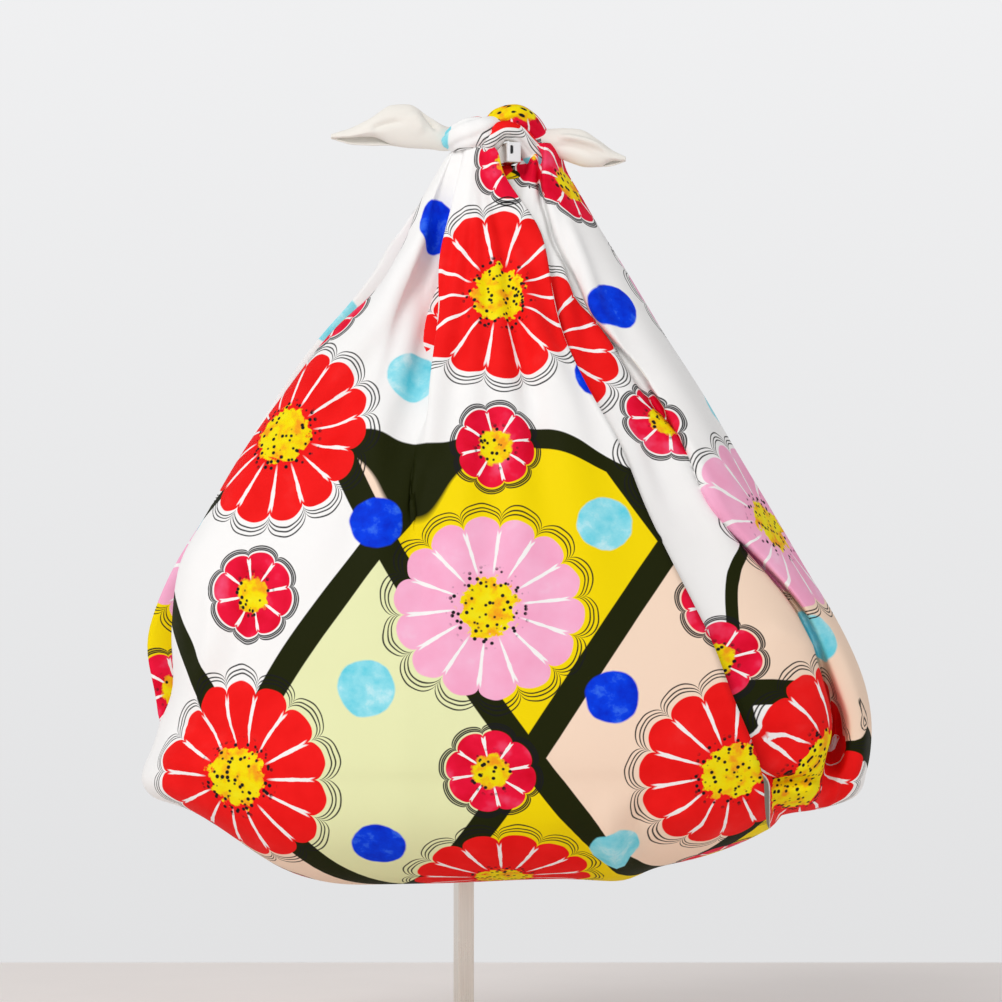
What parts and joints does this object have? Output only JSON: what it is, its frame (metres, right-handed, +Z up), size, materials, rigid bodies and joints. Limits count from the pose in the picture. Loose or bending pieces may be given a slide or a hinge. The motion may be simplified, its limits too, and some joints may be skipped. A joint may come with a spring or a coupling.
{
  "type": "furoshiki wrap on display stand",
  "caption": "Square printed cotton wrapping cloth knotted into a teardrop bag, hung by its knot from the short arm of a slim square post on a flat base plate.",
  "frame": {"origin": "middle of the base plate's underside, on the post's axis", "axes": "+Z up along the post; -Y towards the front of the wrap, where its slits and loose corners are seen; +X to the viewer's right"},
  "size_m": [0.5128, 0.353, 0.6686],
  "materials": {
    "cotton": "satin",
    "steel": "brushed",
    "white_plastic": "matte"
  },
  "bodies": {
    "root": {"wrap": "cotton", "base_plate": "steel", "post": "steel", "arm": "steel", "arm_cap": "white_plastic"}
  },
  "joints": []
}
